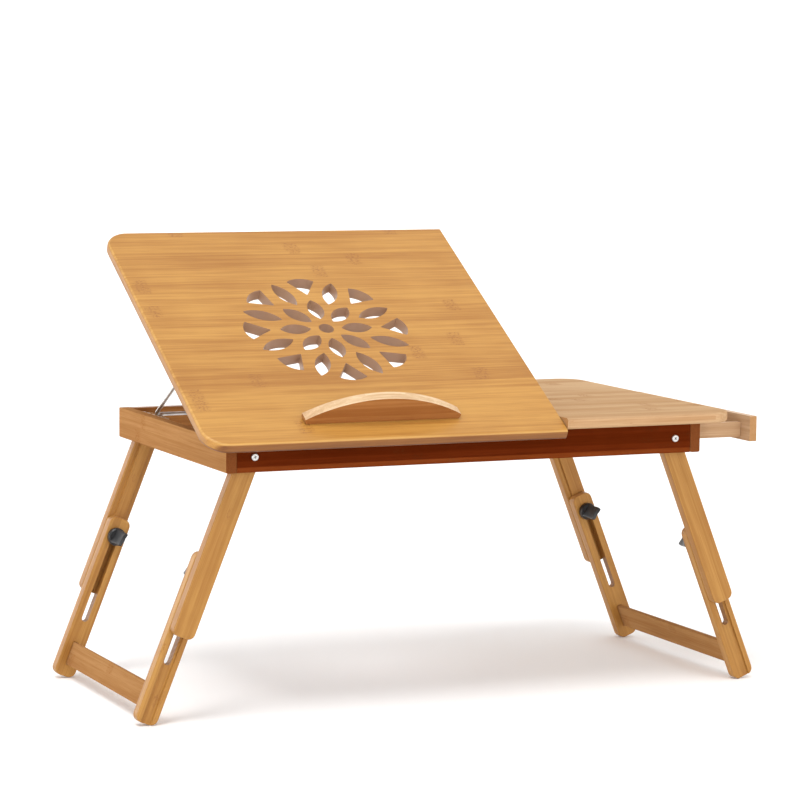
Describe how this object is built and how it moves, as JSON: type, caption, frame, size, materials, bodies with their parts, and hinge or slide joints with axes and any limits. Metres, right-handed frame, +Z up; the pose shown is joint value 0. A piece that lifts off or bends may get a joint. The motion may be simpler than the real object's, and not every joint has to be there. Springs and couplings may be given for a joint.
{
  "type": "laptop stand with drawer",
  "caption": "Folding bamboo laptop table with a tilting vented top, fixed side top, drawer and telescopic legs.",
  "frame": {"origin": "on the floor, under the middle of the stand's bounding box at rest", "axes": "+X from the tilting top to the drawer, +Y from the front to the back, +Z up"},
  "size_m": [0.6532, 0.3516, 0.4404],
  "materials": {
    "bamboo_top": "satin varnish",
    "bamboo_fixed_top": "satin varnish",
    "bamboo_ledge": "satin varnish",
    "bamboo_rail": "satin varnish",
    "bamboo_end_rail": "satin varnish",
    "bamboo_leg": "satin varnish",
    "bamboo_drawer": "satin varnish",
    "steel": "bright",
    "brass": "satin",
    "black_plastic": "satin moulded"
  },
  "bodies": {
    "frame": {"back_rail": "bamboo_rail", "divider": "bamboo_rail", "drawer_runner_back": "bamboo_drawer", "drawer_runner_front": "bamboo_drawer", "fixed_top": "bamboo_fixed_top", "front_rail": "bamboo_rail", "hinge_frame_leaf_left": "brass", "hinge_frame_leaf_right": "brass", "hinge_pin_left": "steel", "hinge_pin_right": "steel", "left_end_rail": "bamboo_end_rail", "leg_pivot_bolt_left_back": "steel", "leg_pivot_bolt_left_front": "steel", "leg_pivot_bolt_right_back": "steel", "leg_pivot_bolt_right_front": "steel", "leg_pivot_nut_left_back": "steel", "leg_pivot_nut_left_front": "steel", "leg_pivot_nut_right_back": "steel", "leg_pivot_nut_right_front": "steel", "prop_rack_left": "bamboo_drawer", "prop_rack_right": "bamboo_drawer", "right_end_rail": "bamboo_end_rail"},
    "tilting_top": {"hinge_top_leaf_left": "brass", "hinge_top_leaf_right": "brass", "prop_clip_left": "steel", "prop_clip_right": "steel", "stopper_ledge": "bamboo_ledge", "tilt_top": "bamboo_top"},
    "prop": {"prop_bail": "steel"},
    "drawer": {"drawer_back": "bamboo_drawer", "drawer_bottom": "bamboo_drawer", "drawer_front": "bamboo_drawer", "drawer_side_back": "bamboo_drawer", "drawer_side_front": "bamboo_drawer"},
    "left_upper_legs": {"insert_nut_left_back": "brass", "insert_nut_left_front": "brass", "upper_leg_left_back": "bamboo_leg", "upper_leg_left_front": "bamboo_leg"},
    "left_lower_legs": {"crossbar_left": "bamboo_leg", "lower_leg_left_back": "bamboo_leg", "lower_leg_left_front": "bamboo_leg"},
    "knob_left_front": {"knob_left_front": "black_plastic", "knob_stud_left_front": "steel"},
    "knob_left_back": {"knob_left_back": "black_plastic", "knob_stud_left_back": "steel"},
    "right_upper_legs": {"insert_nut_right_back": "brass", "insert_nut_right_front": "brass", "upper_leg_right_back": "bamboo_leg", "upper_leg_right_front": "bamboo_leg"},
    "right_lower_legs": {"crossbar_right": "bamboo_leg", "lower_leg_right_back": "bamboo_leg", "lower_leg_right_front": "bamboo_leg"},
    "knob_right_front": {"knob_right_front": "black_plastic", "knob_stud_right_front": "steel"},
    "knob_right_back": {"knob_right_back": "black_plastic", "knob_stud_right_back": "steel"}
  },
  "joints": [
    {"name": "tilt", "type": "hinge", "parent": "frame", "child": "tilting_top", "pos_m": [0, -0.15448, 0.26447], "axis": [1, 0, 0], "range_deg": [-30.5, 4.5]},
    {"name": "prop_swing", "type": "hinge", "parent": "tilting_top", "child": "prop", "pos_m": [0, -0.02844, 0.33622], "axis": [1, 0, 0], "range_deg": [-9, 61]},
    {"name": "drawer_slide", "type": "slide", "parent": "frame", "child": "drawer", "axis": [1, 0, 0], "range_m": [-0.072, 0.025]},
    {"name": "left_leg_fold", "type": "hinge", "parent": "frame", "child": "left_upper_legs", "pos_m": [-0.22071, 0, 0.24882], "axis": [0, -1, 0], "range_deg": [0, 111.6]},
    {"name": "left_leg_slide", "type": "slide", "parent": "left_upper_legs", "child": "left_lower_legs", "axis": [0.3681, 0, 0.9298], "range_m": [-0.0045, 0.0865]},
    {"name": "knob_turn_left_front", "type": "hinge", "parent": "left_upper_legs", "child": "knob_left_front", "pos_m": [-0.26415, 0, 0.13911], "axis": [0, 1, 0], "continuous": true},
    {"name": "knob_turn_left_back", "type": "hinge", "parent": "left_upper_legs", "child": "knob_left_back", "pos_m": [-0.26415, 0, 0.13911], "axis": [0, 1, 0], "continuous": true},
    {"name": "right_leg_fold", "type": "hinge", "parent": "frame", "child": "right_upper_legs", "pos_m": [0.21829, 0, 0.24882], "axis": [0, 1, 0], "range_deg": [0, 111.6]},
    {"name": "right_leg_slide", "type": "slide", "parent": "right_upper_legs", "child": "right_lower_legs", "axis": [-0.3681, 0, 0.9298], "range_m": [-0.0045, 0.0865]},
    {"name": "knob_turn_right_front", "type": "hinge", "parent": "right_upper_legs", "child": "knob_right_front", "pos_m": [0.26173, 0, 0.13911], "axis": [0, 1, 0], "continuous": true},
    {"name": "knob_turn_right_back", "type": "hinge", "parent": "right_upper_legs", "child": "knob_right_back", "pos_m": [0.26173, 0, 0.13911], "axis": [0, 1, 0], "continuous": true}
  ],
  "couplings": [
    {"joint": "prop_swing", "follows": "tilt", "ratio": -2}
  ]
}
